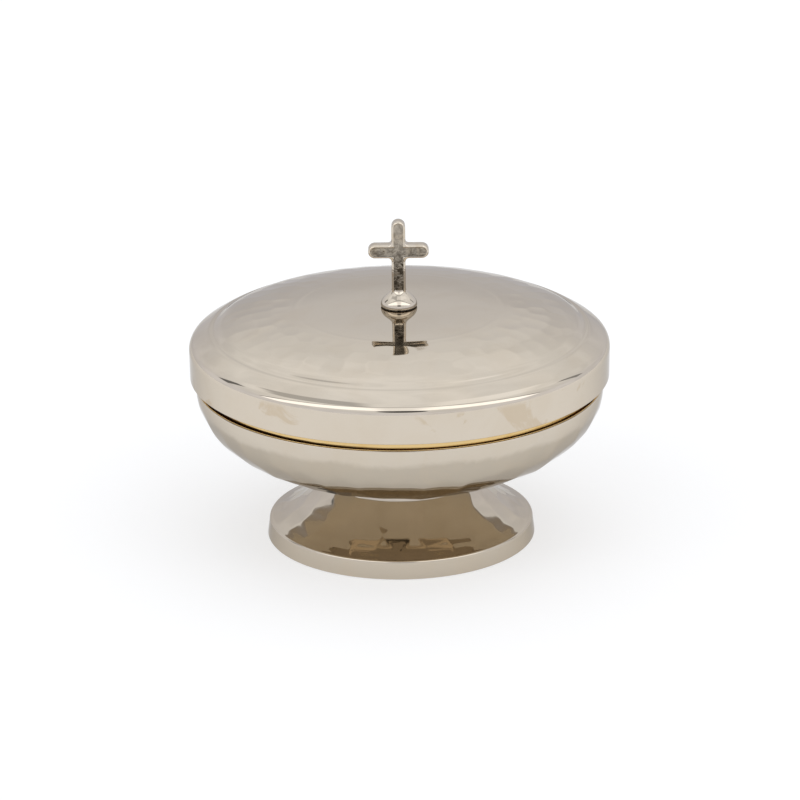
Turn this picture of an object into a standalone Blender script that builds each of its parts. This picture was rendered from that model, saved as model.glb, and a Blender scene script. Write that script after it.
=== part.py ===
"""Footed host bowl (ciborium) with a domed lid and a cross finial.

The turned pieces stand on the Z axis and the foot rests on Z = 0. The front faces -Y.
Dimensions below are in millimetres; MM turns them into Blender's metres.
"""
import math

import bmesh
import bpy
import numpy as np

MM = 0.001

# Driving dimensions
LID_RADIUS = 80.0
TOTAL_HEIGHT = 125.4
FOOT_RADIUS = 51.35
BOWL_RADIUS = 77.67
BOWL_RIM_Z = 61.3
BOWL_DEPTH = 36.6
LID_EDGE_Z = 64.7
SHOULDER_Z = 75.5
LID_TOP_Z = 91.2

# Sheet metal and fits
SHEET = 1.1
LINER_SHEET = 0.9
GAP = 0.3
TURN_STEPS = 48
SMALL_STEPS = 24
SMOOTH_ANGLE = math.radians(35)

# Bowl
BOWL_FULLNESS = 2.2
BOWL_SEAT_RADIUS = 22.0

# Gilt liner and its upstanding collar
LINER_RADIUS = BOWL_RADIUS - SHEET - 2 * GAP
LINER_DEPTH = 32.4
COLLAR_TOP_Z = 68.2

# Foot
NECK_RADIUS = 28.5
NECK_LOW_Z = 23.0
RIM_TOP_RADIUS = 50.6
RIM_TOP_Z = 7.17
RIM_ROUND = 0.9
NECK_ROUND = 1.2
EDGE_ROUND = 0.4
HEM_WIDTH = 3.9
FLARE_STEEP = math.radians(55)
FLARE_FLAT = math.radians(16)

# Lid
SKIRT_RADIUS = 79.8
DOME_BEND_RADIUS = 58.0
DOME_CROWN_DROP = 0.67
DOME_EDGE_DROP = 2.55
DOME_EDGE_POWER = 4.8
GROOVE_RADIUS = 70.5
GROOVE_HALF_WIDTH = 1.1
GROOVE_DEPTH = 0.2
SHOULDER_WIDTH = 4.2
SHOULDER_RISE = 4.5
SHOULDER_START = math.radians(33)

# Ring inside the lid that rests on the collar
SEAT_RING_INNER = 73.4
SEAT_RING_TOP_Z = 74.4

# Bolt that holds the bowl to the foot
STUD_RADIUS = 2.5
STUD_HEAD_RADIUS = 9.0
STUD_HEAD_THICKNESS = 1.2
STUD_END_Z = 14.4
SPREADER_RADIUS = 16.0
SPREADER_THICKNESS = 1.6
LOCK_WASHER_RADIUS = 4.7
LOCK_WASHER_THICKNESS = 0.9
FOOT_NUT_FLATS = 8.0
FOOT_NUT_HEIGHT = 4.0

# Finial
BOSS_RADIUS = 6.9
BOSS_HEIGHT = 6.2
BOSS_TOP_RADIUS = 3.0
BOSS_LIP = 0.4
CROSS_ARM = 5.3
CROSS_DEPTH = 5.0
CROSS_SPAN = 23.0
CROSS_BAR_Z = 113.4
CROSS_FILLET = 1.3
CROSS_BEVEL = 0.7
FINIAL_STUD_RADIUS = 1.5
FINIAL_STUD_REACH = 6.0
FINIAL_WASHER_RADIUS = 5.0
FINIAL_WASHER_THICKNESS = 0.8
FINIAL_NUT_FLATS = 5.5
FINIAL_NUT_HEIGHT = 2.4

# Colours of the metals
NICKEL = (0.60, 0.545, 0.465)
GILT = (0.86, 0.60, 0.24)
STEEL = (0.56, 0.56, 0.55)


def clear_scene():
    for item in list(bpy.data.objects):
        bpy.data.objects.remove(item, do_unlink=True)


def metal(name, colour, roughness):
    material = bpy.data.materials.new(name)
    material.use_nodes = True
    shader = material.node_tree.nodes["Principled BSDF"]
    shader.inputs["Base Color"].default_value = (*colour, 1.0)
    shader.inputs["Metallic"].default_value = 1.0
    shader.inputs["Roughness"].default_value = roughness
    material.diffuse_color = (*colour, 1.0)
    return material


def add_object(name, bm, material):
    """Turns a bmesh into a smooth-shaded object of the scene."""
    bmesh.ops.recalc_face_normals(bm, faces=bm.faces)
    mesh = bpy.data.meshes.new(name)
    bm.to_mesh(mesh)
    bm.free()
    mesh.shade_smooth()
    mesh.set_sharp_from_angle(angle=SMOOTH_ANGLE)
    item = bpy.data.objects.new(name, mesh)
    item.data.materials.append(material)
    bpy.context.collection.objects.link(item)
    return item


def turned(name, outline, material, steps=TURN_STEPS, closed=True):
    """Spins an outline of (radius, height) points in mm about Z.

    A closed outline makes a ring; an open one starts and ends on the axis.
    """
    bm = bmesh.new()
    verts = [bm.verts.new((r * MM, 0.0, z * MM)) for r, z in outline]
    edges = [bm.edges.new(pair) for pair in zip(verts, verts[1:])]
    if closed:
        edges.append(bm.edges.new((verts[-1], verts[0])))
    bmesh.ops.spin(bm, geom=verts + edges, cent=(0, 0, 0), axis=(0, 0, 1),
                   angle=math.tau, steps=steps)
    bmesh.ops.remove_doubles(bm, verts=bm.verts, dist=1e-6)
    return add_object(name, bm, material)


def offset_line(points, distance):
    """Moves a (radius, height) line sideways, to the right of its direction."""
    line = np.array(points)
    steps = np.diff(line, axis=0)
    steps /= np.linalg.norm(steps, axis=1)[:, None]
    sides = np.stack([steps[:, 1], -steps[:, 0]], axis=1)
    before = np.vstack([sides[:1], sides])
    after = np.vstack([sides, sides[-1:]])
    middle = before + after
    middle /= np.sum(middle * before, axis=1)[:, None]
    return [tuple(point) for point in line + distance * middle]


def sheet(points, thickness):
    """A closed outline for sheet metal whose outside runs outward and then down."""
    return points + offset_line(points, thickness)[::-1]


def bowl_point(radius, depth, angle):
    """A point of the bowl's curve: angle 0 is on the axis, 90 degrees at the rim."""
    power = 2.0 / BOWL_FULLNESS
    r = radius * math.sin(angle) ** power
    z = BOWL_RIM_Z - depth * math.cos(angle) ** power
    return r, z


def bowl_height(radius):
    """Height of the bowl's outside at a radius."""
    share = 1.0 - (radius / BOWL_RADIUS) ** BOWL_FULLNESS
    return BOWL_RIM_Z - BOWL_DEPTH * share ** (1.0 / BOWL_FULLNESS)


def bowl_seat_z():
    return bowl_height(BOWL_SEAT_RADIUS)


def bowl_curve(radius, depth, start, count):
    """Points from start to the rim, more closely spaced towards the rim."""
    angles = np.linspace(start, math.pi / 2, count)
    return [bowl_point(radius, depth, angle) for angle in angles]


def make_bowl_shell(material):
    seat_angle = math.asin((BOWL_SEAT_RADIUS / BOWL_RADIUS) ** (BOWL_FULLNESS / 2))
    outside = [(STUD_RADIUS + GAP, bowl_seat_z())]
    outside += bowl_curve(BOWL_RADIUS, BOWL_DEPTH, seat_angle, 11)
    return turned("bowl_shell", outside + offset_line(outside, -SHEET)[::-1], material)


def make_gilt_liner(material):
    flat_angle = math.radians(14)
    curve = bowl_curve(LINER_RADIUS, LINER_DEPTH, flat_angle, 10)
    outside = curve + [(LINER_RADIUS, COLLAR_TOP_Z)]
    inside = offset_line(outside, -LINER_SHEET)
    outline = [(0.0, curve[0][1])] + outside + inside[::-1] + [(0.0, inside[0][1])]
    return turned("gilt_liner", outline, material, closed=False)


def flare_points(count):
    """The foot's flare: its slope falls evenly from the neck to the rim."""
    slopes = np.linspace(FLARE_STEEP, FLARE_FLAT, count)
    r_steps = np.cos(slopes)
    z_steps = -np.sin(slopes)
    r = np.concatenate([[0.0], np.cumsum((r_steps[1:] + r_steps[:-1]) / 2)])
    z = np.concatenate([[0.0], np.cumsum((z_steps[1:] + z_steps[:-1]) / 2)])
    r_end = RIM_TOP_RADIUS - RIM_ROUND
    r = NECK_RADIUS + (r_end - NECK_RADIUS) * r / r[-1]
    z = NECK_LOW_Z + (RIM_TOP_Z - NECK_LOW_Z) * z / z[-1]
    return list(zip(r, z))


def make_foot_shell(material):
    seat_z = bowl_seat_z() - GAP
    shoulder_r = NECK_RADIUS - NECK_ROUND
    outside = [
        (STUD_RADIUS + GAP, seat_z),
        (BOWL_SEAT_RADIUS, seat_z),
        (shoulder_r - NECK_ROUND, bowl_height(shoulder_r - NECK_ROUND) - GAP),
        (shoulder_r, bowl_height(shoulder_r) - GAP),
        (NECK_RADIUS - 0.3 * NECK_ROUND, seat_z - 0.3 * NECK_ROUND),
        (NECK_RADIUS, seat_z - NECK_ROUND),
    ]
    outside += flare_points(7)
    outside += [
        (RIM_TOP_RADIUS - 0.3 * RIM_ROUND, RIM_TOP_Z - 0.3 * RIM_ROUND),
        (RIM_TOP_RADIUS, RIM_TOP_Z - RIM_ROUND),
        (FOOT_RADIUS, EDGE_ROUND),
        (FOOT_RADIUS - EDGE_ROUND, 0.0),
        (FOOT_RADIUS - HEM_WIDTH, 0.0),
    ]
    return turned("foot_shell", sheet(outside, SHEET), material)


def dome_height(radius):
    """A gently crowned middle that bends down past DOME_BEND_RADIUS."""
    share = radius / DOME_BEND_RADIUS
    return LID_TOP_Z - DOME_CROWN_DROP * share ** 2 - DOME_EDGE_DROP * share ** DOME_EDGE_POWER


def lid_outline():
    """The lid's outside, from its centre hole over the shoulder to the skirt's edge."""
    field_end = GROOVE_RADIUS - GROOVE_HALF_WIDTH
    radii = np.linspace(BOSS_RADIUS + 1.0, field_end, 7)
    outside = [(FINIAL_STUD_RADIUS + GAP, LID_TOP_Z)]
    outside += [(r, dome_height(r)) for r in radii]
    outside.append((GROOVE_RADIUS, dome_height(GROOVE_RADIUS) - GROOVE_DEPTH))
    border_start = GROOVE_RADIUS + GROOVE_HALF_WIDTH
    for r in (border_start, LID_RADIUS - SHOULDER_WIDTH):
        outside.append((r, dome_height(r)))
    for angle in np.linspace(SHOULDER_START, math.pi / 2, 5):
        r = LID_RADIUS - SHOULDER_WIDTH * (1 - math.sin(angle))
        z = SHOULDER_Z + SHOULDER_RISE * math.cos(angle)
        outside.append((r, z))
    outside.append((SKIRT_RADIUS, LID_EDGE_Z))
    return outside


def make_lid_shell(material):
    return turned("lid_shell", sheet(lid_outline(), SHEET), material)


def make_lid_seat_ring(material):
    outer = SKIRT_RADIUS - SHEET - GAP
    low = COLLAR_TOP_Z + GAP
    outline = [
        (SEAT_RING_INNER, low),
        (outer, low),
        (outer, SEAT_RING_TOP_Z),
        (outer - LINER_SHEET, SEAT_RING_TOP_Z),
        (outer - LINER_SHEET, low + LINER_SHEET),
        (SEAT_RING_INNER, low + LINER_SHEET),
    ]
    return turned("lid_seat_ring", outline, material)


def make_bowl_stud(material):
    """Threaded stud with a broad flat head, hidden between the liner and the bowl."""
    head_z = bowl_seat_z() + SHEET + GAP
    chamfer = 0.5
    outline = [
        (0.0, head_z + STUD_HEAD_THICKNESS),
        (STUD_HEAD_RADIUS - chamfer, head_z + STUD_HEAD_THICKNESS),
        (STUD_HEAD_RADIUS, head_z + STUD_HEAD_THICKNESS - chamfer),
        (STUD_HEAD_RADIUS, head_z),
        (STUD_RADIUS, head_z),
        (STUD_RADIUS, STUD_END_Z + chamfer),
        (STUD_RADIUS - chamfer, STUD_END_Z),
        (0.0, STUD_END_Z),
    ]
    return turned("bowl_stud", outline, material, SMALL_STEPS, closed=False)


def make_washer(name, hole, radius, top, thickness, material):
    outline = [(hole, top), (radius, top), (radius, top - thickness), (hole, top - thickness)]
    return turned(name, outline, material, SMALL_STEPS)


def make_nut(name, flats, hole, top, height, material):
    """A hexagon nut: a six-sided prism with a round hole through it."""
    centre = (0.0, 0.0, (top - height / 2) * MM)
    bm = bmesh.new()
    corner_radius = flats / math.sqrt(3) * MM
    bmesh.ops.create_cone(bm, cap_ends=True, segments=6, radius1=corner_radius,
                          radius2=corner_radius, depth=height * MM)
    nut = add_object(name, bm, material)
    nut.location = centre
    bm = bmesh.new()
    bmesh.ops.create_cone(bm, cap_ends=True, segments=SMALL_STEPS, radius1=hole * MM,
                          radius2=hole * MM, depth=2 * height * MM)
    cut_away(nut, add_object(name + "_hole", bm, material), centre)
    return nut


def cut_away(item, cutter, location):
    """Cuts a hidden tool body out of an object."""
    cutter.location = location
    cutter.hide_render = True
    cutter.display_type = "WIRE"
    cut = item.modifiers.new("hole", "BOOLEAN")
    cut.operation = "DIFFERENCE"
    cut.solver = "EXACT"
    cut.object = cutter


def foot_fixings():
    """Heights of the spreader's, the lock washer's and the nut's top faces."""
    spreader = bowl_seat_z() - 2 * GAP - SHEET
    washer = spreader - SPREADER_THICKNESS - GAP
    nut = washer - LOCK_WASHER_THICKNESS - GAP
    return spreader, washer, nut


def make_boss(material):
    """Half-ball under the cross."""
    base = LID_TOP_Z + GAP
    hole = FINIAL_STUD_RADIUS + GAP
    top_angle = math.acos(BOSS_TOP_RADIUS / BOSS_RADIUS)
    rise = (BOSS_HEIGHT - BOSS_LIP) / math.sin(top_angle)
    outline = [(hole, base), (BOSS_RADIUS - BOSS_LIP, base)]
    for angle in np.linspace(0.0, top_angle, 8):
        r = BOSS_RADIUS * math.cos(angle)
        outline.append((r, base + BOSS_LIP + rise * math.sin(angle)))
    outline.append((hole, boss_top_z()))
    return turned("finial_boss", outline, material, 32)


def boss_top_z():
    return LID_TOP_Z + GAP + BOSS_HEIGHT


def arc(centre_x, centre_z, radius, start, end, count):
    angles = np.radians(np.linspace(start, end, count))
    return [(centre_x + radius * math.cos(a), centre_z + radius * math.sin(a)) for a in angles]


def cross_outline(bottom):
    """Right half from the foot of the shaft to the top, then mirrored."""
    half = CROSS_ARM / 2
    fillet = CROSS_FILLET
    low = CROSS_BAR_Z - half
    high = CROSS_BAR_Z + half
    corner = half + fillet
    right = [(half, bottom)]
    right += arc(corner, low - fillet, fillet, 180, 90, 4)
    right += arc(CROSS_SPAN / 2 - half, CROSS_BAR_Z, half, -90, 90, 9)
    right += arc(corner, high + fillet, fillet, -90, -180, 4)
    right += arc(0.0, TOTAL_HEIGHT - half, half, 0, 90, 5)
    left = [(-x, z) for x, z in right[-2::-1]]
    return right + left


def make_cross(material):
    bottom = boss_top_z() + GAP
    half_depth = CROSS_DEPTH / 2 * MM
    bm = bmesh.new()
    verts = [bm.verts.new((x * MM, -half_depth, z * MM)) for x, z in cross_outline(bottom)]
    face = bm.faces.new(verts)
    grown = bmesh.ops.extrude_face_region(bm, geom=[face])
    moved = [v for v in grown["geom"] if isinstance(v, bmesh.types.BMVert)]
    bmesh.ops.translate(bm, vec=(0, 2 * half_depth, 0), verts=moved)
    cross = add_object("finial_cross", bm, material)
    bevel = cross.modifiers.new("soft edges", "BEVEL")
    bevel.width = CROSS_BEVEL * MM
    bevel.segments = 2
    bevel.limit_method = "ANGLE"
    bevel.angle_limit = math.radians(50)
    bm = bmesh.new()
    hole = (FINIAL_STUD_RADIUS + GAP) * MM
    reach = (FINIAL_STUD_REACH + GAP) * MM
    bmesh.ops.create_cone(bm, cap_ends=True, segments=SMALL_STEPS, radius1=hole,
                          radius2=hole, depth=2 * reach)
    cut_away(cross, add_object("cross_hole", bm, material), (0.0, 0.0, bottom * MM))
    return cross


def finial_fixings():
    """Heights of the washer's and the nut's top faces inside the lid."""
    washer = LID_TOP_Z - SHEET - GAP
    nut = washer - FINIAL_WASHER_THICKNESS - GAP
    return washer, nut


def make_finial_stud(material):
    top = boss_top_z() + GAP + FINIAL_STUD_REACH
    bottom = finial_fixings()[1] - FINIAL_NUT_HEIGHT - 1.5
    chamfer = 0.4
    outline = [
        (0.0, top),
        (FINIAL_STUD_RADIUS - chamfer, top),
        (FINIAL_STUD_RADIUS, top - chamfer),
        (FINIAL_STUD_RADIUS, bottom + chamfer),
        (FINIAL_STUD_RADIUS - chamfer, bottom),
        (0.0, bottom),
    ]
    return turned("finial_stud", outline, material, SMALL_STEPS, closed=False)


def build():
    clear_scene()
    nickel = metal("polished_nickel", NICKEL, 0.12)
    nickel_hammered = metal("hammered_nickel", NICKEL, 0.16)
    gilt = metal("gilt", GILT, 0.14)
    cast = metal("cast_nickel", NICKEL, 0.28)
    steel = metal("steel", STEEL, 0.35)

    make_foot_shell(nickel_hammered)
    make_bowl_shell(nickel_hammered)
    make_gilt_liner(gilt)
    make_bowl_stud(steel)
    spreader_z, washer_z, nut_z = foot_fixings()
    foot_hole = STUD_RADIUS + GAP
    make_washer("spreader_plate", foot_hole, SPREADER_RADIUS, spreader_z,
                SPREADER_THICKNESS, steel)
    make_washer("lock_washer", foot_hole, LOCK_WASHER_RADIUS, washer_z,
                LOCK_WASHER_THICKNESS, steel)
    make_nut("foot_nut", FOOT_NUT_FLATS, foot_hole, nut_z, FOOT_NUT_HEIGHT, steel)

    make_lid_shell(nickel_hammered)
    make_lid_seat_ring(gilt)
    make_boss(nickel)
    make_cross(cast)
    make_finial_stud(steel)
    finial_hole = FINIAL_STUD_RADIUS + GAP
    washer_z, nut_z = finial_fixings()
    make_washer("finial_washer", finial_hole, FINIAL_WASHER_RADIUS, washer_z,
                FINIAL_WASHER_THICKNESS, steel)
    make_nut("finial_nut", FINIAL_NUT_FLATS, finial_hole, nut_z, FINIAL_NUT_HEIGHT, steel)


build()
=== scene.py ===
"""Looks of the footed host bowl: hammered nickel shells, a gilt inside and a cast cross.

Places and outer sizes come from the CAD frame. A number times MM is a design size in
millimetres. Outlines are rows of (radius, height). -Y is the front.
"""
import math

import bmesh
import bpy
import numpy as np
from mathutils import Euler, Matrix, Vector
from mathutils.kdtree import KDTree


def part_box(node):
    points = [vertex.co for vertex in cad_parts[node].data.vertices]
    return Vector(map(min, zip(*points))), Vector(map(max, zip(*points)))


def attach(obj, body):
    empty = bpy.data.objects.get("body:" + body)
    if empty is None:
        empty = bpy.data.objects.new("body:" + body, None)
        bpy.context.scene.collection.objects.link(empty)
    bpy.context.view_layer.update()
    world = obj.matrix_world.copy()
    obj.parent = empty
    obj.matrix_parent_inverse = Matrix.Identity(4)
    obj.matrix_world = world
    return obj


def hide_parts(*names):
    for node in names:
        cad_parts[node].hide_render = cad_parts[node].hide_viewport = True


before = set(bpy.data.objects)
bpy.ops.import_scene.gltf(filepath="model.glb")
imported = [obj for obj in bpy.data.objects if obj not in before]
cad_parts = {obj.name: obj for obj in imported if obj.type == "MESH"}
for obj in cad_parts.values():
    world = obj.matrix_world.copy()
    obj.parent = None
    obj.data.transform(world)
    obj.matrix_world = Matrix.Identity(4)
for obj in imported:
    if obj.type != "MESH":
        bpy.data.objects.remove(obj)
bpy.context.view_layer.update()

MM = 0.001
TURN = math.tau


# ---------------------------------------------------------------- sizes from the frame

def top(node):
    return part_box(node)[1].z


def bottom(node):
    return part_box(node)[0].z


def radius(node):
    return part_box(node)[1].x


SHEET = 1.1 * MM
GAP = 0.3 * MM

LID_RADIUS = radius("lid_shell")
LID_TOP = top("lid_shell")
LID_EDGE = bottom("lid_shell")
SHOULDER_Z = LID_EDGE + 10.8 * MM
SHOULDER_WIDTH = 4.2 * MM
SHOULDER_RISE = 4.5 * MM
SKIRT_TAPER = 0.2 * MM
SHOULDER_START = 33  # degrees past the top of the shoulder's arc
DOME_BEND_RADIUS = 58.0 * MM
DOME_CROWN_DROP = 0.67 * MM
DOME_EDGE_DROP = 2.55 * MM
GROOVE_RADIUS = 70.5 * MM
GROOVE_DEPTH = 0.55 * MM
GROOVE_INNER_WIDTH = 2.0 * MM
GROOVE_OUTER_WIDTH = 1.2 * MM
CREASE_RADIUS = 39.5 * MM
CREASE_HEIGHT = 0.06 * MM

BOWL_RADIUS = radius("bowl_shell")
BOWL_RIM = top("bowl_shell")
BOWL_DEPTH = 36.6 * MM
BOWL_SEAT = bottom("bowl_shell")
BOWL_SEAT_RADIUS = 22.0 * MM
BOWL_FULLNESS = 2.2

LINER_RADIUS = radius("gilt_liner")
LINER_DEPTH = 32.4 * MM
LINER_SHEET = 0.9 * MM
COLLAR_TOP = top("gilt_liner")

FOOT_RADIUS = radius("foot_shell")
FOOT_SEAT = BOWL_SEAT - GAP
NECK_RADIUS = 28.5 * MM
NECK_LOW = 23.0 * MM
RIM_TOP_RADIUS = 50.6 * MM
RIM_TOP = 7.17 * MM

BOSS_BASE = bottom("finial_boss")
BOSS_TOP = top("finial_boss")
BOSS_RADIUS = radius("finial_boss")
KNOB_NECK = 2.75 * MM
CROSS_HALF = 2.65 * MM
CROSS_HEAD = 12.0 * MM
CROSS_BAR = top("finial_cross") - CROSS_HEAD
CROSS_REACH = radius("finial_cross") - CROSS_HALF
CROSS_RISE = CROSS_HEAD - CROSS_HALF
CROSS_FIELD = 2.0 * MM
CROSS_FIELD_DEPTH = 0.22 * MM
CROSS_FACE = 1.8 * MM


# ---------------------------------------------------------------- curves

def smooth_step(x):
    x = np.clip(x, 0.0, 1.0)
    return x * x * (3.0 - 2.0 * x)


def bump_at(x, centre, width):
    return np.exp(-((x - centre) / width) ** 2)


def offset(points, distance):
    """Moves an (N, 2) line sideways, to the right of its direction."""
    steps = np.diff(points, axis=0)
    steps /= np.linalg.norm(steps, axis=1)[:, None]
    sides = np.stack([steps[:, 1], -steps[:, 0]], axis=1)
    before = np.vstack([sides[:1], sides])
    after = np.vstack([sides, sides[-1:]])
    middle = before + after
    middle /= np.sum(middle * before, axis=1)[:, None]
    return points + distance * middle


def resample(points, spacing):
    """Even steps along a line of (radius, height) points."""
    lengths = np.concatenate([[0.0], np.cumsum(np.linalg.norm(np.diff(points, axis=0), axis=1))])
    count = max(2, int(round(lengths[-1] / spacing)) + 1)
    at = np.linspace(0.0, lengths[-1], count)
    return np.stack([np.interp(at, lengths, points[:, 0]), np.interp(at, lengths, points[:, 1])], 1)


def edge_round(centre, size, start, end, count=7):
    """Points of a rounded edge, angles in degrees."""
    angles = np.radians(np.linspace(start, end, count))
    return np.stack([centre[0] + size * np.cos(angles), centre[1] + size * np.sin(angles)], 1)


def dome_height(r):
    """A gently crowned middle that bends down past DOME_BEND_RADIUS."""
    share = r / DOME_BEND_RADIUS
    return LID_TOP - DOME_CROWN_DROP * share ** 2 - DOME_EDGE_DROP * share ** 4.8


def lid_outside():
    """From the centre over the dome, the groove and the shoulder to the skirt's edge.

    The rows are closest in the groove.
    """
    field = np.arange(1.0, 66.2, 0.8) * MM
    ring = np.arange(66.3, 73.2, 0.2) * MM
    border = np.arange(73.5, 77.8, 0.6) * MM
    r = np.concatenate([field, ring, border])
    width = np.where(r < GROOVE_RADIUS, GROOVE_INNER_WIDTH, GROOVE_OUTER_WIDTH)
    z = dome_height(r) - GROOVE_DEPTH * bump_at(r, GROOVE_RADIUS, width)
    z += CREASE_HEIGHT * bump_at(r, CREASE_RADIUS, 0.6 * MM)
    dome = np.stack([r, z], 1)
    angles = np.radians(np.linspace(SHOULDER_START, 90, 18))
    arc = np.stack([LID_RADIUS - SHOULDER_WIDTH * (1 - np.sin(angles)),
                    SHOULDER_Z + SHOULDER_RISE * np.cos(angles)], 1)
    soft = 0.4 * MM
    skirt_end = np.array([LID_RADIUS - SKIRT_TAPER, LID_EDGE])
    skirt = resample(np.array([arc[-1], skirt_end + [0.06 * MM, soft]]), 0.9 * MM)[1:]
    lip = edge_round(skirt_end + [0.06 * MM - soft, soft], soft, 0, -90)[1:]
    return np.vstack([dome, arc, skirt, lip])


def bowl_arc(size, depth, start_radius, spacing):
    """The bowl's full curve, from start_radius up to the rim."""
    start = math.asin((start_radius / size) ** (BOWL_FULLNESS / 2))
    angles = np.linspace(start, math.pi / 2, 240)
    r = size * np.sin(angles) ** (2 / BOWL_FULLNESS)
    z = BOWL_RIM - depth * np.clip(np.cos(angles), 0, 1) ** (2 / BOWL_FULLNESS)
    return resample(np.stack([r, z], 1), spacing)


def bowl_outside():
    """From the seat on the foot up to the rim."""
    curve = bowl_arc(BOWL_RADIUS, BOWL_DEPTH, BOWL_SEAT_RADIUS, 0.8 * MM)
    seat = np.array([[3.0 * MM, curve[0, 1]], [BOWL_SEAT_RADIUS * 0.6, curve[0, 1]]])
    curve = curve[curve[:, 1] < BOWL_RIM - 0.5 * MM]
    soft = 0.45 * MM
    rim = edge_round((BOWL_RADIUS - soft, BOWL_RIM - soft), soft, 0, 90)
    return np.vstack([seat, curve, rim])


def foot_outside():
    """From the seat over the neck and the flare to the rim band and the hem."""
    seat = np.array([[3.0 * MM, FOOT_SEAT], [BOWL_SEAT_RADIUS, FOOT_SEAT],
                     [NECK_RADIUS - 2.2 * MM, FOOT_SEAT + 0.42 * MM]])
    bead = 1.3 * MM
    neck = edge_round((NECK_RADIUS - bead, FOOT_SEAT - 0.9 * MM), bead, 75, 0, 9)
    slopes = np.radians(np.linspace(55, 16, 60))
    r = np.concatenate([[0.0], np.cumsum(np.cos(slopes[1:]))])
    z = np.concatenate([[0.0], np.cumsum(-np.sin(slopes[1:]))])
    soft = 1.0 * MM
    r = NECK_RADIUS + (RIM_TOP_RADIUS - soft - NECK_RADIUS) * r / r[-1]
    z = NECK_LOW + (RIM_TOP - NECK_LOW) * z / z[-1]
    flare = resample(np.stack([r, z], 1), 0.7 * MM)
    edge = edge_round((RIM_TOP_RADIUS - soft, RIM_TOP - soft), soft, 78, 5, 10)
    roll = 0.5 * MM
    band = resample(np.array([edge[-1], [FOOT_RADIUS, roll]]), 0.8 * MM)[1:]
    hem = edge_round((FOOT_RADIUS - roll, roll), roll, 0, -90)[1:]
    inner = np.array([[FOOT_RADIUS - 3.9 * MM, 0.0]])
    return np.vstack([seat, neck, flare, edge, band, hem, inner])


# ---------------------------------------------------------------- turned meshes

def link(name, mesh):
    item = bpy.data.objects.new(name, mesh)
    bpy.context.scene.collection.objects.link(item)
    return item


def finish_mesh(name, points, faces, sharp=40.0):
    """A smooth object from (N, 3) points and a list of faces, sharp past an angle in degrees."""
    mesh = bpy.data.meshes.new(name)
    mesh.from_pydata(points.reshape(-1, 3).tolist(), [], faces)
    mesh.update()
    mesh.shade_smooth()
    mesh.set_sharp_from_angle(angle=math.radians(sharp))
    return link(name, mesh)


def ring_faces(rows, steps, closed, flip):
    """Quads between the rows of a turned surface. A closed one joins its last row to its first."""
    row = np.arange(rows if closed else rows - 1)
    low = row * steps
    high = ((row + 1) % rows) * steps
    at = np.arange(steps)
    after = (at + 1) % steps
    quads = np.stack([low[:, None] + at, low[:, None] + after,
                      high[:, None] + after, high[:, None] + at], axis=2)
    if flip:
        quads = quads[:, :, ::-1]
    return quads.reshape(-1, 4).tolist()


def round_angles(steps):
    return np.arange(steps) * TURN / steps


def spin_points(outline, steps):
    """Points of a turned outline, as (rows, steps, 3)."""
    angles = round_angles(steps)
    r = outline[:, 0][:, None]
    z = np.broadcast_to(outline[:, 1][:, None], (len(outline), steps))
    return np.stack([r * np.cos(angles), r * np.sin(angles), z], axis=2)


def turned(name, outline, steps, relief=None, relief_rows=0, side=1.0, sharp=40.0):
    """Turns a closed outline about Z.

    relief(points) lifts the first relief_rows rows along their normals, which point to the left
    of the outline's direction times side.
    """
    rows = len(outline)
    points = spin_points(outline, steps)
    if relief is not None:
        face = outline[:relief_rows]
        along = np.gradient(face, axis=0)
        along /= np.linalg.norm(along, axis=1)[:, None]
        normal = np.stack([-along[:, 1], along[:, 0]], 1) * side
        angles = round_angles(steps)
        direction = np.stack([normal[:, :1] * np.cos(angles), normal[:, :1] * np.sin(angles),
                              np.broadcast_to(normal[:, 1:], (relief_rows, steps))], axis=2)
        lift = relief(points[:relief_rows].reshape(-1, 3)).reshape(relief_rows, steps)
        points[:relief_rows] += direction * lift[:, :, None]
    r, z = outline[:, 0], outline[:, 1]
    area = np.sum(r * np.roll(z, -1) - np.roll(r, -1) * z)
    faces = ring_faces(rows, steps, True, area < 0)
    return finish_mesh(name, points, faces, sharp)


# ---------------------------------------------------------------- hammer marks

def mark_centres(line, pitch, seed):
    """Blows in rings along a (radius, height) line, each a little off its place."""
    rng = np.random.default_rng(seed)
    rows = resample(line, pitch * 0.86)
    centres = []
    for number, (r, z) in enumerate(rows):
        count = max(3, int(round(TURN * r / pitch)))
        angles = (np.arange(count) + 0.5 * (number % 2) + rng.uniform(-0.24, 0.24, count))
        angles *= TURN / count
        reach = r + rng.uniform(-0.2, 0.2, count) * pitch
        lift = z + np.zeros(count)
        centres.append(np.stack([reach * np.cos(angles), reach * np.sin(angles), lift], 1))
    return np.vstack(centres)


def hammer_relief(line, pitch, depth, fade, seed, still=-1.0):
    """Heights for shallow overlapping blows with soft ridges between them, none below still."""
    sharpness = 20.0
    centres = mark_centres(line, pitch, seed)
    rng = np.random.default_rng(seed + 1)
    bias = rng.uniform(-0.12, 0.12, len(centres))
    tree = KDTree(len(centres))
    for index, centre in enumerate(centres):
        tree.insert(Vector(centre), index)
    tree.balance()

    def relief(points):
        near = 5
        distance = np.empty((len(points), near))
        index = np.empty((len(points), near), int)
        for row, point in enumerate(points):
            for column, found in enumerate(tree.find_n(point, near)):
                index[row, column] = found[1]
                distance[row, column] = found[2]
        bowls = (distance / pitch) ** 2 + bias[index]
        lowest = -np.log(np.sum(np.exp(-sharpness * bowls), axis=1)) / sharpness
        share = fade(points)
        height = (lowest * 4.0 - 1.0) * 0.5 * depth * share
        height += waviness(points, seed) * (0.3 + 0.7 * share)
        return height * smooth_step((points[:, 2] - still) / (4 * MM))
    return relief


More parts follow.
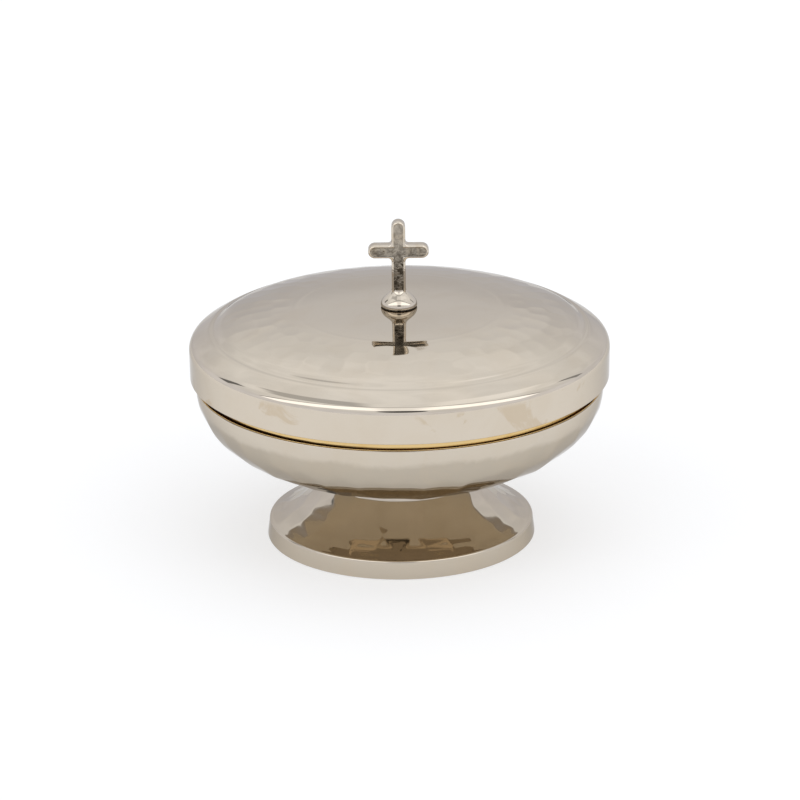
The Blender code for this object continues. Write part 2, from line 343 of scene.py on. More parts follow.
def waviness(points, seed):
    """A slow unevenness that any hand-finished spinning has."""
    size = 0.05 * MM
    length = 24 * MM
    rng = np.random.default_rng(seed + 2)
    height = np.zeros(len(points))
    for _ in range(6):
        direction = rng.normal(size=3)
        direction /= np.linalg.norm(direction)
        wave = length * rng.uniform(0.7, 1.6)
        height += np.sin(points @ direction * TURN / wave + rng.uniform(0, TURN))
    return height * size / 3.0


def radius_of(points):
    return np.hypot(points[:, 0], points[:, 1])


def lid_fade(points):
    """Almost no marks in the middle and none on the border."""
    r = radius_of(points)
    inner = 0.05 + 0.95 * smooth_step((r - 40 * MM) / (7 * MM))
    outer = 1.0 - smooth_step((r - 63 * MM) / (5.5 * MM))
    near_crease = 1.0 - 0.6 * bump_at(r, CREASE_RADIUS, 2.5 * MM)
    return inner * outer * near_crease


def bowl_fade(points):
    """No marks just under the rim."""
    return 1.0 - smooth_step((points[:, 2] - (BOWL_RIM - 8 * MM)) / (6 * MM))


def foot_fade(points):
    """Marks on the flare only."""
    r = radius_of(points)
    return smooth_step((r - 26 * MM) / (3 * MM)) * (1.0 - smooth_step((r - 45.5 * MM) / (3 * MM)))


# ---------------------------------------------------------------- materials

class NodeCalls:
    """Short calls for building a node tree. place is where its noises are read."""

    def __init__(self, owner, coordinates):
        owner.use_nodes = True
        self.tree = owner.node_tree
        self.place = self.add("ShaderNodeTexCoord").outputs[coordinates]

    def add(self, kind, **settings):
        node = self.tree.nodes.new(kind)
        for key, value in settings.items():
            setattr(node, key, value)
        return node

    def put(self, value, socket):
        if isinstance(value, bpy.types.NodeSocket):
            self.tree.links.new(value, socket)
        else:
            socket.default_value = value

    def noise(self, scale, detail=3.0, rough=0.5, distortion=0.0, place=None):
        node = self.add("ShaderNodeTexNoise")
        self.put(place or self.place, node.inputs["Vector"])
        node.inputs["Scale"].default_value = scale
        node.inputs["Detail"].default_value = detail
        node.inputs["Roughness"].default_value = rough
        node.inputs["Distortion"].default_value = distortion
        return node.outputs["Fac"]

    def ramp(self, value, low, high, out_low=0.0, out_high=1.0):
        """Smooth change from out_low to out_high while value goes from low to high."""
        node = self.add("ShaderNodeMapRange", interpolation_type="SMOOTHSTEP")
        for key, number in (("Value", value), ("From Min", low), ("From Max", high),
                            ("To Min", out_low), ("To Max", out_high)):
            self.put(number, node.inputs[key])
        return node.outputs["Result"]

    def math(self, operation, a, b=0.0, c=0.0):
        node = self.add("ShaderNodeMath", operation=operation)
        for value, socket in zip((a, b, c), node.inputs):
            self.put(value, socket)
        return node.outputs[0]

    def times(self, a, b):
        return self.math("MULTIPLY", a, b)

    def less(self, a, b):
        return self.math("SUBTRACT", a, b)

    def square_sum(self, a, b):
        return self.math("ADD", self.times(a, a), self.times(b, b))

    def length(self, a, b):
        return self.math("SQRT", self.square_sum(a, b))


class Nodes(NodeCalls):
    """Calls for a material, whose noises are fixed to the piece."""

    def __init__(self, name):
        self.material = bpy.data.materials.new(name)
        super().__init__(self.material, "Object")
        self.shader = self.tree.nodes["Principled BSDF"]

    def mix(self, factor, a, b):
        node = self.add("ShaderNodeMix", data_type="RGBA")
        self.put(factor, node.inputs["Factor"])
        colours = [s for s in node.inputs if s.type == "RGBA"]
        self.put(a, colours[0])
        self.put(b, colours[1])
        return next(s for s in node.outputs if s.type == "RGBA")

    def axis(self, letter):
        split = self.add("ShaderNodeSeparateXYZ")
        self.put(self.place, split.inputs[0])
        return split.outputs["xyz".index(letter)]

    def reach(self):
        """Distance from the axis that the pieces are turned about."""
        return self.length(self.axis("x"), self.axis("y"))

    def turned_place(self, across, around):
        """Coordinates that are fine from the axis outwards and long around it."""
        join = self.add("ShaderNodeCombineXYZ")
        self.put(self.times(self.reach(), across), join.inputs[0])
        self.put(self.times(self.axis("x"), around), join.inputs[1])
        self.put(self.times(self.axis("z"), across), join.inputs[2])
        return join.outputs[0]

    def stretched(self, scale):
        """Coordinates scaled along each axis."""
        node = self.add("ShaderNodeMapping")
        self.put(self.place, node.inputs["Vector"])
        node.inputs["Scale"].default_value = scale
        return node.outputs["Vector"]

    def bump(self, height, strength, distance, normal=None):
        node = self.add("ShaderNodeBump")
        node.inputs["Strength"].default_value = strength
        node.inputs["Distance"].default_value = distance
        self.put(height, node.inputs["Height"])
        if normal is not None:
            self.put(normal, node.inputs["Normal"])
        return node.outputs["Normal"]

    def finish(self, colour, roughness, normal=None):
        """Metal of this colour, a little darker where it is seen at a low angle."""
        self.put(colour, self.shader.inputs["Base Color"])
        self.put(roughness, self.shader.inputs["Roughness"])
        self.shader.inputs["Metallic"].default_value = 1.0
        self.shader.inputs["Specular Tint"].default_value = GRAZING_TINT
        if normal is not None:
            self.put(normal, self.shader.inputs["Normal"])
        return self.material


NICKEL = (0.635, 0.567, 0.474, 1.0)
NICKEL_WARM = (0.56, 0.465, 0.345, 1.0)
# Darker copy of NICKEL for the foot, painted shade for its place beneath the bowl.
NICKEL_FOOT_SHADED = (0.545, 0.482, 0.398, 1.0)
# Darker copies of NICKEL, painted shade: the bowl's plate, its lower part and its underside.
NICKEL_BOWL_SHADED = (0.60, 0.538, 0.452, 1.0)
NICKEL_LOW_SHADE = (0.495, 0.44, 0.362, 1.0)
NICKEL_UNDER_SHADE = (0.47, 0.385, 0.27, 1.0)
# Near-black: painted shadow at the knob's foot, and the colour of the cross's sunken field.
NICKEL_DARK = (0.055, 0.044, 0.031, 1.0)
GILT = (0.70, 0.505, 0.235, 1.0)
GILT_DEEP = (0.64, 0.42, 0.15, 1.0)
# Painted shadow in the gap where the gilt collar meets the bowl's rim.
GILT_SHADE = (0.05, 0.025, 0.008, 1.0)
STEEL = (0.52, 0.52, 0.51, 1.0)
STEEL_WORN = (0.42, 0.41, 0.38, 1.0)
GRAZING_TINT = (0.64, 0.63, 0.62, 1.0)


def polished_metal(m, colour, worn, roughness, stained=0.0):
    """Polished plate: cloudy polish, spinning lines and hairline wear, and stains where
    stained is not 0.
    """
    cloud = m.noise(55.0, 4.0, 0.55, 0.4)
    tint = m.mix(m.ramp(cloud, 0.40, 0.70, 0.0, 0.18), colour, worn)
    stain = m.ramp(m.noise(36.0, 7.0, 0.62, 1.2), 0.55, 0.60, 0.0, 0.75)
    tint = m.mix(m.times(stain, stained), tint, worn)
    smear = m.noise(120.0, 4.0, 0.6, 0.8)
    rough = m.ramp(smear, 0.3, 0.75, roughness * 0.7, roughness * 1.8)
    lines = m.noise(900.0, 3.0, 0.6, 0.0, m.turned_place(1.0, 0.02))
    hair = m.noise(1.0, 2.0, 0.5, 0.0, m.stretched((260.0, 2600.0, 900.0)))
    normal = m.bump(lines, 0.16, 0.00003)
    normal = m.bump(hair, 0.05, 0.00001, normal)
    return m.finish(tint, rough, normal)


def lid_nickel(name):
    """The lid's plate, with finger stains on the skirt, where the lid is held."""
    m = Nodes(name)
    held = m.ramp(m.axis("z"), SHOULDER_Z - 1.0 * MM, SHOULDER_Z + 1.5 * MM, 1.0, 0.0)
    return polished_metal(m, NICKEL, NICKEL_WARM, 0.035, held)


def knob_nickel(name):
    """The knob's plate, with a painted shadow line around its foot, where it meets the lid."""
    m = Nodes(name)
    # Painted shade: near-black nickel in a thin band at the knob's foot stands in for the shadow where
    # the knob meets the lid.
    low = m.ramp(m.axis("z"), BOSS_BASE + 0.13 * MM, BOSS_BASE + 0.22 * MM, 1.0, 0.0)
    return polished_metal(m, m.mix(low, NICKEL, NICKEL_DARK), NICKEL_WARM, 0.06)


def bowl_nickel(name):
    """The bowl's plate, with painted shade: a darker copy of the lid's nickel, darker again below its
    widest part and darkest beneath, standing in for the shadowed floor that the bowl reflects. Faint
    stains lie all over.
    """
    m = Nodes(name)
    wave = m.times(m.noise(45.0, 4.0, 0.6, 0.8), 7.0 * MM)
    height = m.math("ADD", m.axis("z"), wave)
    # Painted shade: the nickel darkens in two steps towards the bottom, standing in for the shadowed
    # floor that the lower bowl reflects.
    low = m.ramp(height, BOWL_RIM - 4.3 * MM, BOWL_RIM - 1.3 * MM, 1.0, 0.0)
    under_shade = m.ramp(height, BOWL_RIM - 20.3 * MM, BOWL_RIM - 12.3 * MM, 1.0, 0.0)
    colour = m.mix(low, NICKEL_BOWL_SHADED, NICKEL_LOW_SHADE)
    colour = m.mix(under_shade, colour, NICKEL_UNDER_SHADE)
    return polished_metal(m, colour, NICKEL_WARM, 0.04, 0.15)


def gilt(name):
    return polished_metal(Nodes(name), GILT, GILT_DEEP, 0.10)


def gilt_collar(name):
    """Gilding with a painted shadow line where the collar meets the rim, darkest at -X.
    """
    m = Nodes(name)
    reach = m.reach()
    outside = m.times(m.ramp(reach, LINER_RADIUS - 0.5 * MM, LINER_RADIUS - 0.3 * MM),
                      m.ramp(reach, LINER_RADIUS + 0.6 * MM, LINER_RADIUS + 0.9 * MM, 1.0, 0.0))
    spread = m.times(m.noise(90.0, 4.0, 0.6), 0.5 * MM)
    edge = m.less(m.axis("z"), spread)
    low = m.ramp(edge, BOWL_RIM + 0.4 * MM, BOWL_RIM + 0.7 * MM, 1.0, 0.0)
    # Painted shade: where the collar meets the bowl's rim the gilding is nearly black at -X, turning
    # to deep gold at +X, standing in for the shadow in the gap beneath the lid.
    joint_shade = m.mix(m.ramp(m.axis("x"), -45 * MM, 35 * MM), GILT_SHADE, GILT_DEEP)
    stain = m.ramp(m.noise(60.0, 5.0, 0.6, 1.0), 0.5, 0.72, 0.0, 0.7)
    tint = m.mix(stain, GILT, GILT_DEEP)
    tint = m.mix(m.times(outside, low), tint, joint_shade)
    rough = m.ramp(m.noise(140.0, 4.0), 0.3, 0.7, 0.07, 0.16)
    return m.finish(tint, rough, m.bump(m.noise(1800.0), 0.2, 0.00002))


def cast_nickel(name):
    """The cross: plated casting, bright on its borders and dark in its sunken field."""
    m = Nodes(name)
    across = m.math("ABSOLUTE", m.axis("x"))
    height = m.less(m.axis("z"), CROSS_BAR)
    past_end = m.math("MAXIMUM", m.less(across, CROSS_REACH), 0.0)
    past_top = m.math("MAXIMUM", m.less(height, CROSS_RISE), 0.0)
    from_line = m.math("MINIMUM", m.length(past_end, height), m.length(past_top, across))
    near = m.ramp(from_line, CROSS_FIELD - 0.3 * MM, CROSS_FIELD, 1.0, 0.0)
    face = m.ramp(m.math("ABSOLUTE", m.axis("y")), CROSS_FACE, CROSS_FACE + 0.3 * MM)
    field = m.times(near, face)
    patch = m.ramp(m.noise(520.0, 5.0, 0.65, 0.6), 0.38, 0.62, 0.6, 1.0)
    deeper = m.ramp(height, -5 * MM, 4 * MM, 1.0, 0.66)
    dark = m.times(m.times(field, patch), deeper)
    tint = m.mix(m.ramp(m.noise(300.0, 4.0), 0.45, 0.7, 0.0, 0.6), NICKEL, NICKEL_WARM)
    tint = m.mix(dark, tint, NICKEL_DARK)
    rough = m.ramp(field, 0.0, 1.0, 0.06, 0.18)
    normal = m.bump(m.noise(2400.0, 4.0, 0.6), 0.2, 0.00004)
    return m.finish(tint, rough, normal)


def steel(name):
    m = Nodes(name)
    tint = m.mix(m.ramp(m.noise(300.0, 4.0), 0.4, 0.7, 0.0, 0.6), STEEL, STEEL_WORN)
    rough = m.ramp(m.noise(900.0), 0.3, 0.7, 0.26, 0.42)
    return m.finish(tint, rough, m.bump(m.noise(3000.0), 0.3, 0.00003))


# ---------------------------------------------------------------- pieces

def place(piece, material, body, slot, *nodes):
    """Gives a piece its material and its body, and hides the CAD nodes that it replaces. slot is not
    used.
    """
    piece.data.materials.append(material)
    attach(piece, body)
    if nodes:
        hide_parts(*nodes)
    return piece


def make_lid(material, lining):
    """The hammered outer skin, and the gilt skin that lines it."""
    outside = lid_outside()
    inside = resample(offset(outside, 0.7 * MM), 1.6 * MM)[::-1]
    line = np.array([[r * MM, dome_height(r * MM)] for r in (10, 30, 55, 67)])
    relief = hammer_relief(line, pitch=8.2 * MM, depth=0.145 * MM, fade=lid_fade, seed=11)
    lid = turned("lid_outer_skin", np.vstack([outside, inside]), 480, relief, len(outside))
    place(lid, material, "lid", "hammered_nickel", "lid_shell")
    skin = resample(offset(outside, 0.72 * MM), 1.6 * MM)
    gold = turned("lid_gilt_lining", np.vstack([skin, offset(skin, 0.38 * MM)[::-1]]), 240)
    place(gold, lining, "lid", "gilt")


def make_seat_ring(material):
    """Ring inside the skirt, with rounded edges."""
    low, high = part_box("lid_seat_ring")
    inner = 73.4 * MM
    wall = 0.9 * MM
    soft = 0.25 * MM
    root = 0.5 * MM
    outline = np.vstack([
        edge_round((inner + wall / 2, low.z + wall / 2), wall / 2, 90, 270, 9),
        edge_round((high.x - soft, low.z + soft), soft, -90, 0, 5),
        edge_round((high.x - wall / 2, high.z - wall / 2), wall / 2, 0, 180, 9),
        edge_round((high.x - wall - root, low.z + wall + root), root, 0, -90, 6),
    ])
    ring = turned("seat_ring_gilt", outline, 240)
    place(ring, material, "lid", "gilt", "lid_seat_ring")


def make_bowl(material):
    """Bowl of hammered sheet, plain on its inside."""
    outside = bowl_outside()
    inside = resample(offset(outside, -SHEET), 2.2 * MM)[::-1]
    line = bowl_arc(BOWL_RADIUS, BOWL_DEPTH, 30 * MM, 4 * MM)
    relief = hammer_relief(line, pitch=13.0 * MM, depth=0.48 * MM, fade=bowl_fade, seed=23)
    bowl = turned("bowl_hammered", np.vstack([outside, inside]), 440, relief, len(outside), -1.0)
    place(bowl, material, "base", "hammered_nickel", "bowl_shell")


def make_liner(material):
    """Gilt cup with a beaded lip on its collar and a thin flange over the bowl's rim."""
    curve = bowl_arc(LINER_RADIUS, LINER_DEPTH, 12 * MM, 1.2 * MM)
    centre = np.array([[0.2 * MM, curve[0, 1]]])
    wall_top = COLLAR_TOP - 0.55 * MM
    wall = resample(np.array([curve[-1], [LINER_RADIUS, wall_top]]), 1.0 * MM)[1:]
    inside = offset(np.vstack([centre, curve, wall]), -LINER_SHEET)
    low = BOWL_RIM + 0.07 * MM
    half = 0.15 * MM
    fillet = 0.25 * MM
    edge = edge_round((BOWL_RADIUS - 2 * half, low + half), half, -90, 90, 7)
    root = edge_round((LINER_RADIUS + fillet, low + 2 * half + fillet), fillet, 270, 180, 5)
    flange = np.vstack([[[LINER_RADIUS, low]], edge, root])
    middle = LINER_RADIUS - LINER_SHEET / 2
    lip = edge_round((middle, wall_top), LINER_SHEET / 2, 20, 160, 9)
    outline = np.vstack([centre, curve[:-1], flange, wall[wall[:, 1] > low + MM], lip, inside[::-1]])
    liner = turned("gilt_cup", outline, 300)
    close_axis(liner, 0.25 * MM)
    place(liner, material, "base", "gilt", "gilt_liner")


def close_axis(item, reach):
    """Merges a pinhole on the axis into one point on each face of the sheet."""
    bm = bmesh.new()
    bm.from_mesh(item.data)
    near = [v for v in bm.verts if math.hypot(v.co.x, v.co.y) < reach]
    walls = [f for f in bm.faces if all(math.hypot(v.co.x, v.co.y) < reach for v in f.verts)]
    bmesh.ops.delete(bm, geom=walls, context="FACES_ONLY")
    for v in near:
        v.co.x = 0.0
        v.co.y = 0.0
    bmesh.ops.remove_doubles(bm, verts=near, dist=1e-6)
    bm.to_mesh(item.data)
    bm.free()


def make_foot(material):
    """Hammered foot, open beneath."""
    outside = foot_outside()
    inside = resample(offset(outside, SHEET), 1.6 * MM)[::-1]
    r, z = outside.T
    line = outside[(r > 29 * MM) & (r < 47 * MM) & (z > RIM_TOP)]
    relief = hammer_relief(line, pitch=10.5 * MM, depth=0.40 * MM, fade=foot_fade, seed=37,
                           still=1.0 * MM)
    foot = turned("foot_hammered", np.vstack([outside, inside]), 400, relief, len(outside))
    place(foot, material, "base", "hammered_nickel", "foot_shell")


def make_boss(material):
    """Onion-shaped knob with an undercut foot, sweeping up to the cross."""
    sunk = BOSS_BASE - 0.25 * MM
    foot = BOSS_BASE + 0.3 * MM
    bore = 1.8 * MM
    undercut = [(bore, sunk), (BOSS_RADIUS - 0.35 * MM, sunk), (BOSS_RADIUS - 0.45 * MM, BOSS_BASE),
                (BOSS_RADIUS - 0.3 * MM, foot - 0.16 * MM), (BOSS_RADIUS - 0.08 * MM, foot - 0.1 * MM)]
    share = np.linspace(0.0, 1.0, 36)
    drop = (BOSS_RADIUS - KNOB_NECK) * smooth_step(share ** 1.3)
    onion = np.stack([BOSS_RADIUS - drop, foot + (BOSS_TOP + 0.5 * MM - foot) * share], 1)
    shell = np.vstack([undercut, onion, [(bore, onion[-1, 1])]])
    boss = turned("finial_knob", shell[::-1], 120)
    place(boss, material, "lid", "polished_nickel", "finial_boss")


def arc_line(x, z, size, start, end, count):
    """Points of an arc about (x, z), angles in degrees."""
    angles = np.radians(np.linspace(start, end, count))
    return [(x + size * math.cos(a), z + size * math.sin(a)) for a in angles]


def cross_outline():
    """Front outline of the cross, with round arm ends and fillets at the crossing."""
    low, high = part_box("finial_cross")
    half = CROSS_HALF
    fillet = 1.3 * MM
    bar = CROSS_BAR
    corner = half + fillet
    right = [(half, low.z - 1.2 * MM)]
    right += arc_line(corner, bar - half - fillet, fillet, 180, 90, 7)
    right += arc_line(high.x - half, bar, half, -90, 90, 19)
    right += arc_line(corner, bar + half + fillet, fillet, -90, -180, 7)
    right += arc_line(0.0, high.z - half, half, 0, 90, 11)
    left = [(-x, z) for x, z in right[-2::-1]]
    return right + left


def cast_grain(points, seed):
    """Fine pits and ridges of a casting, in four sizes."""
    rng = np.random.default_rng(seed)
    height = np.zeros(len(points))
    for octave in range(4):
        length = 2.3 * MM / 1.8 ** octave
        for _ in range(5):
            direction = rng.normal(size=3)
            direction /= np.linalg.norm(direction)
            phase = points @ direction * TURN / length + rng.uniform(0, TURN)
            height += np.sin(phase + 1.5 * np.sin(phase * 0.37)) / 1.5 ** octave
    return height / 5.0


def field_mask(points):
    """1 on the sunken field that runs along the middle of the cross, front and back."""
    across = np.abs(points[:, 0])
    height = points[:, 2] - CROSS_BAR
    from_bar = np.hypot(np.maximum(across - CROSS_REACH, 0.0), height)
    from_shaft = np.hypot(across, np.maximum(height - CROSS_RISE, 0.0))
    near = smooth_step((CROSS_FIELD - np.minimum(from_bar, from_shaft)) / (0.35 * MM))
    return near * smooth_step((np.abs(points[:, 1]) - CROSS_FACE) / (0.3 * MM))


def cross_blank():
    """The outline drawn out from front to back, with rounded edges, meshed evenly."""
    low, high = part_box("finial_cross")
    bm = bmesh.new()
    verts = [bm.verts.new((x, low.y, z)) for x, z in cross_outline()]
    face = bm.faces.new(verts)
    grown = bmesh.ops.extrude_face_region(bm, geom=[face])
    moved = [v for v in grown["geom"] if isinstance(v, bmesh.types.BMVert)]
    bmesh.ops.translate(bm, vec=(0, high.y - low.y, 0), verts=moved)
    bmesh.ops.recalc_face_normals(bm, faces=bm.faces)
    mesh = bpy.data.meshes.new("cross_cast")
    bm.to_mesh(mesh)
    bm.free()
    cross = link("cross_cast", mesh)
    bevel = cross.modifiers.new("round", "BEVEL")
    bevel.width = 1.0 * MM
    bevel.segments = 5
    bevel.limit_method = "ANGLE"
    bevel.angle_limit = math.radians(50)
    remesh = cross.modifiers.new("even", "REMESH")
    remesh.mode = "VOXEL"
    remesh.voxel_size = 0.16 * MM
    settle = cross.modifiers.new("settle", "SMOOTH")
    settle.factor = 0.5
    settle.iterations = 3
    bake_modifiers(cross)
    return cross


def make_cross(material):
    """The blank with a sunken field and cast grain, which is strongest in the field."""
    cross = cross_blank()
    co = np.empty(len(cross.data.vertices) * 3, np.float32)
    no = np.empty(len(cross.data.vertices) * 3, np.float32)
    cross.data.vertices.foreach_get("co", co)
    cross.data.vertices.foreach_get("normal", no)
    co = co.reshape(-1, 3).astype(float)
    no = no.reshape(-1, 3).astype(float)
    field = field_mask(co)
    grain = cast_grain(co, 5) * (0.008 + 0.022 * field) * MM
    lift = grain - CROSS_FIELD_DEPTH * field
    co += no * lift[:, None]
    cross.data.vertices.foreach_set("co", co.astype(np.float32).ravel())
    cross.data.update()
    cross.data.shade_smooth()
    place(cross, material, "lid", "cast_nickel", "finial_cross")


def bake_modifiers(item):
    """Swaps an object's mesh for the one that its modifiers make."""
    bpy.context.view_layer.update()
    source = item.evaluated_get(bpy.context.evaluated_depsgraph_get())
    mesh = bpy.data.meshes.new_from_object(source)
    item.modifiers.clear()
    old = item.data
    item.data = mesh
    mesh.name = item.name
    bpy.data.meshes.remove(old)


def threaded_rod(name, size, low, high, pitch, steps=48):
    """A rod with a helical thread and closed, chamfered ends."""
    rows = int((high - low) / pitch * 10)
    heights = np.linspace(low, high, rows)
    angles = round_angles(steps)
    turn = (heights[:, None] / pitch - angles / TURN) % 1.0
    tooth = np.abs(turn * 2.0 - 1.0)
    ends = np.minimum(heights - low, high - heights)[:, None]
    reach = size - 0.5 * pitch * tooth - np.maximum(0.0, 0.6 * pitch - ends)
    points = np.stack([reach * np.cos(angles), reach * np.sin(angles),
                       np.broadcast_to(heights[:, None], reach.shape)], axis=2)
    faces = ring_faces(rows, steps, False, False)
    faces.append(list(range(steps))[::-1])
    faces.append([(rows - 1) * steps + i for i in range(steps)])
    return finish_mesh(name, points, faces)


def hex_nut(name, node, hole):
    """Hexagon nut with chamfered corners and a countersunk hole."""
    low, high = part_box(node)
    half = (high.x - low.x) / 2
    steps = 96
    angles = round_angles(steps)
    sector = (angles + math.pi / 6) % (math.pi / 3) - math.pi / 6
    hexagon = half / np.cos(sector)
    chamfer = half * 0.97485
    slope = (hexagon - chamfer) * 0.55
    sink = 0.35 * MM
    rows = [
        (hole + sink, low.z),
        (chamfer, low.z),
        (hexagon, low.z + slope),
        (hexagon, high.z - slope),
        (chamfer, high.z),
        (hole + sink, high.z),
        (hole, high.z - sink),
        (hole, low.z + sink),
    ]
    points = [np.stack([r * np.cos(angles), r * np.sin(angles), z + np.zeros(steps)], 1)
              for r, z in rows]
    return finish_mesh(name, np.vstack(points), ring_faces(len(rows), steps, True, False), 25.0)


def soft_washer(name, node, hole, soft):
    """Flat ring with rounded edges."""
    low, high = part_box(node)
    outline = np.vstack([
        edge_round((hole + soft, high.z - soft), soft, 180, 90, 4),
        edge_round((high.x - soft, high.z - soft), soft, 90, 0, 5),
        edge_round((high.x - soft, low.z + soft), soft, 0, -90, 5),
        edge_round((hole + soft, low.z + soft), soft, 270, 180, 4),
    ])
    return turned(name, outline, 96, sharp=25.0)


def make_fixings(metal):
    """Bolt of the foot and bolt of the lid."""
    place(soft_washer("spreader", "spreader_plate", 2.8 * MM, 0.3 * MM), metal, "base", "steel",
          "spreader_plate")
    place(soft_washer("spring_washer", "lock_washer", 2.8 * MM, 0.2 * MM), metal, "base", "steel",
          "lock_washer")
    place(hex_nut("foot_hex_nut", "foot_nut", 2.62 * MM), metal, "base", "steel", "foot_nut")
    low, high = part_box("bowl_stud")
    rod = threaded_rod("bowl_stud_thread", 2.5 * MM, low.z, high.z - 1.0 * MM, 0.8 * MM)
    place(rod, metal, "base", "steel", "bowl_stud")
    head = turned("bowl_stud_head", np.vstack([
        [[2.4 * MM, high.z - 1.2 * MM]],
        edge_round((high.x - 0.3 * MM, high.z - 0.9 * MM), 0.3 * MM, -90, 0, 4),
        edge_round((high.x - 0.6 * MM, high.z - 0.6 * MM), 0.6 * MM, 0, 90, 6),
        [[2.4 * MM, high.z]],
    ])[::-1], 96)
    place(head, metal, "base", "steel")
    place(soft_washer("lid_washer", "finial_washer", 1.8 * MM, 0.2 * MM), metal, "lid", "steel",
          "finial_washer")
    place(hex_nut("lid_hex_nut", "finial_nut", 1.62 * MM), metal, "lid", "steel", "finial_nut")
    low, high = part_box("finial_stud")
    rod = threaded_rod("finial_stud_thread", 1.5 * MM, low.z, high.z, 0.5 * MM, 36)
    place(rod, metal, "lid", "steel", "finial_stud")


# ---------------------------------------------------------------- studio

def make_floor():
    """A pale acrylic table top that is softly lit from below."""
    steps = 96
    rings = np.array([0.0001, 0.3, 0.9, 1.6])
    points = spin_points(np.stack([rings, np.full(len(rings), -0.0001)], 1), steps)
    faces = ring_faces(len(rings), steps, False, False)
    faces.append(list(range(steps)))
    mesh = bpy.data.meshes.new("floor")
    mesh.from_pydata(points.reshape(-1, 3).tolist(), [], faces)
    floor = link("floor", mesh)
    m = Nodes("floor_acrylic")
    m.shader.inputs["Base Color"].default_value = (0.48, 0.48, 0.48, 1.0)
    m.shader.inputs["Roughness"].default_value = 0.9
    m.shader.inputs["Specular IOR Level"].default_value = 0.0
    m.shader.inputs["Emission Color"].default_value = (1.0, 1.0, 1.0, 1.0)
    m.shader.inputs["Emission Strength"].default_value = 0.53
    mesh.materials.append(m.material)


class Sky(NodeCalls):
    """Calls for the white tent that the world stands for, by direction from the vessel."""

    def __init__(self):
        world = bpy.data.worlds.new("tent")
        bpy.context.scene.world = world
        super().__init__(world, "Generated")
        self.background = self.tree.nodes["Background"]
        split = self.add("ShaderNodeSeparateXYZ")
        self.put(self.place, split.inputs[0])
        self.x, self.y, self.z = split.outputs

    def band(self, value, low, high, soft):
        """1 between low and high, fading out over soft on both sides."""
        return self.less(self.ramp(value, low - soft, low + soft),
                         self.ramp(value, high - soft, high + soft))

    def lerp(self, factor, a, b):
        return self.math("MULTIPLY_ADD", factor, self.less(b, a), a)


# Places on the roof are where a direction meets a plane of height 1: along is its y, and
# across is its distance from the middle. Shades are brightnesses, with 1 for white.
ROOF_SPAN = (-1.25, -0.42)
ROOF_END = (3.4, 2.6)
ROOF_SOFT = 0.04
ROOF_SHADE = 1.8
SEAM_SPAN = (-0.38, -0.30)
SEAM_END = (3.0, 2.4)
SEAM_SHADES = (0.52, 0.12)
FOLD_SLANT = 0.8
FOLD_START = -0.218
FOLD_SPAN = (-0.30, 0.11)
FOLD_SIDES = (0.19, 0.75)
FOLD_SHADES = (0.62, 1.22)

# Directions to the walls are an azimuth from the front towards +X, and a sine of elevation.
LENS_CENTRE = (0.02, 0.50)
LENS_HALF = (0.26, 0.13)
LENS_SHADE = 0.13

# Azimuth, half width, lowest and highest sine of elevation, shade.
OPENINGS = (
    (-1.97, 0.09, 0.30, 0.60, 0.20),
    (2.00, 0.06, 0.25, 0.60, 0.35),
)


def add_roof(sky, level):
    """A bright panel, dimmer in its middle, with a dark seam behind it, and a slanting fold on
    each side, dim towards -X and bright towards +X.
    """
    height = sky.math("MAXIMUM", sky.z, 0.02)
    across = sky.math("ABSOLUTE", sky.math("DIVIDE", sky.x, height))
    along = sky.math("DIVIDE", sky.y, height)
    roof = sky.times(sky.band(along, *ROOF_SPAN, ROOF_SOFT), sky.ramp(across, *ROOF_END))
    roof = sky.times(roof, sky.ramp(across, 0.10, 0.35, 0.35, 1.0))
    level = sky.lerp(roof, level, ROOF_SHADE)
    slant = sky.less(along, sky.math("MULTIPLY_ADD", across, FOLD_SLANT, FOLD_START))
    fold = sky.times(sky.band(slant, *FOLD_SPAN, 0.03), sky.band(across, *FOLD_SIDES, 0.07))
    level = sky.lerp(fold, level, sky.ramp(sky.x, -0.15, 0.10, *FOLD_SHADES))
    seam = sky.times(sky.band(along, *SEAM_SPAN, ROOF_SOFT), sky.ramp(across, *SEAM_END))
    return sky.lerp(seam, level, sky.ramp(across, 1.1, 1.7, *SEAM_SHADES))


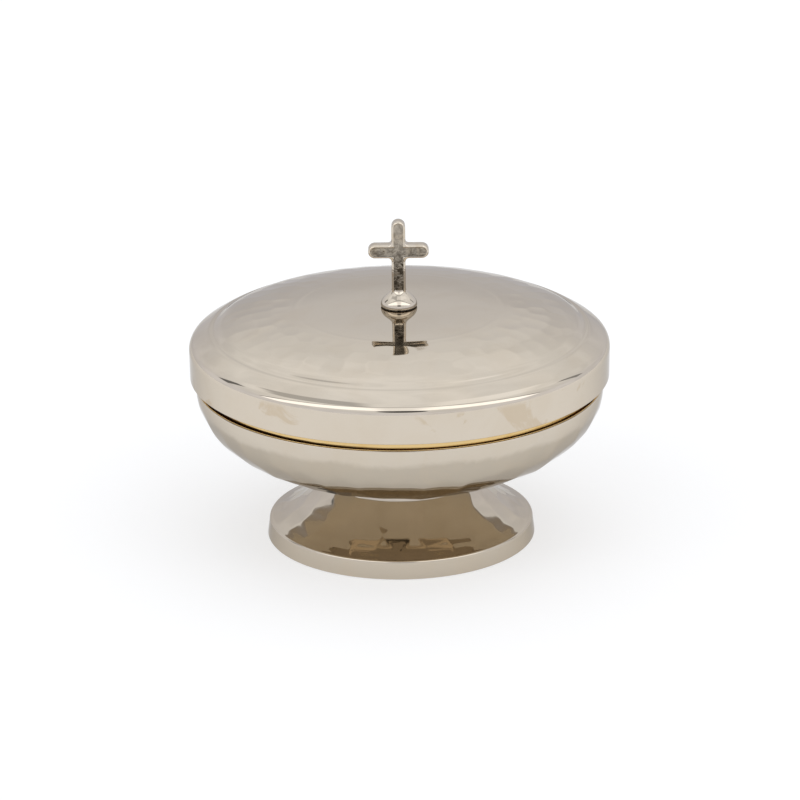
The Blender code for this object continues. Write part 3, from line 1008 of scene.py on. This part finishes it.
def add_openings(sky, level):
    """A soft ellipse for the lens in the front wall, and the dark openings left and right."""
    azimuth = sky.math("ARCTAN2", sky.x, sky.times(sky.y, -1.0))
    sideways = sky.math("DIVIDE", sky.less(azimuth, LENS_CENTRE[0]), LENS_HALF[0])
    upward = sky.math("DIVIDE", sky.less(sky.z, LENS_CENTRE[1]), LENS_HALF[1])
    lens = sky.ramp(sky.square_sum(sideways, upward), 1.15, 0.8)
    level = sky.lerp(lens, level, LENS_SHADE)
    for centre, half, low, high, shade in OPENINGS:
        near = sky.band(azimuth, centre - half, centre + half, 0.015)
        tall = sky.band(sky.z, low, high, 0.02)
        level = sky.lerp(sky.times(near, tall), level, shade)
    return level


def make_tent():
    """White tent with soft folds, a little brighter upwards and bluer near the horizon."""
    sky = Sky()
    folds = sky.noise(3.2, 3.0, 0.5, 0.8)
    level = sky.times(sky.ramp(sky.z, 0.30, 0.80, 0.91, 1.05), sky.ramp(folds, 0.3, 0.7, 0.93, 1.06))
    level = add_openings(sky, add_roof(sky, level))
    blend = sky.add("ShaderNodeCombineColor")
    sky.put(sky.times(level, 0.985), blend.inputs[0])
    sky.put(level, blend.inputs[1])
    sky.put(sky.times(level, sky.ramp(sky.z, 0.1, 0.6, 1.075, 1.03)), blend.inputs[2])
    sky.put(blend.outputs[0], sky.background.inputs["Color"])
    sky.background.inputs["Strength"].default_value = 1.0


def make_camera():
    """A long lens that looks down at the axis, rolled by a little over half a degree."""
    elevation = math.radians(20.0)
    distance = 1.8
    aim = Vector((0.0, 0.0, 0.0532))
    lens = bpy.data.cameras.new("camera")
    lens.sensor_width = 36.0
    lens.lens = 212.1
    camera = link("camera", lens)
    away = Vector((0.0, -math.cos(elevation), math.sin(elevation)))
    camera.location = aim + distance * away
    camera.rotation_euler = Euler((math.pi / 2 - elevation, 0.0, 0.0))
    roll = Euler((0.0, 0.0, math.radians(-0.6))).to_matrix().to_4x4()
    camera.matrix_world = camera.matrix_basis @ roll
    bpy.context.scene.camera = camera
    bpy.context.scene.view_settings.view_transform = "Standard"


def build():
    """The studio first, then the shells, the finial and the bolts."""
    make_camera()
    make_floor()
    make_tent()
    gold = gilt("gilt")
    make_lid(lid_nickel("lid_nickel"), gold)
    make_seat_ring(gold)
    make_bowl(bowl_nickel("bowl_nickel"))
    make_liner(gilt_collar("gilt_collar"))
    # The foot's nickel is a darker copy of the lid's: painted shade for its place beneath the bowl.
    make_foot(polished_metal(Nodes("foot_nickel"), NICKEL_FOOT_SHADED, NICKEL_WARM, 0.05))
    make_boss(knob_nickel("knob_nickel"))
    make_cross(cast_nickel("cast_nickel"))
    make_fixings(steel("zinc_steel"))


build()
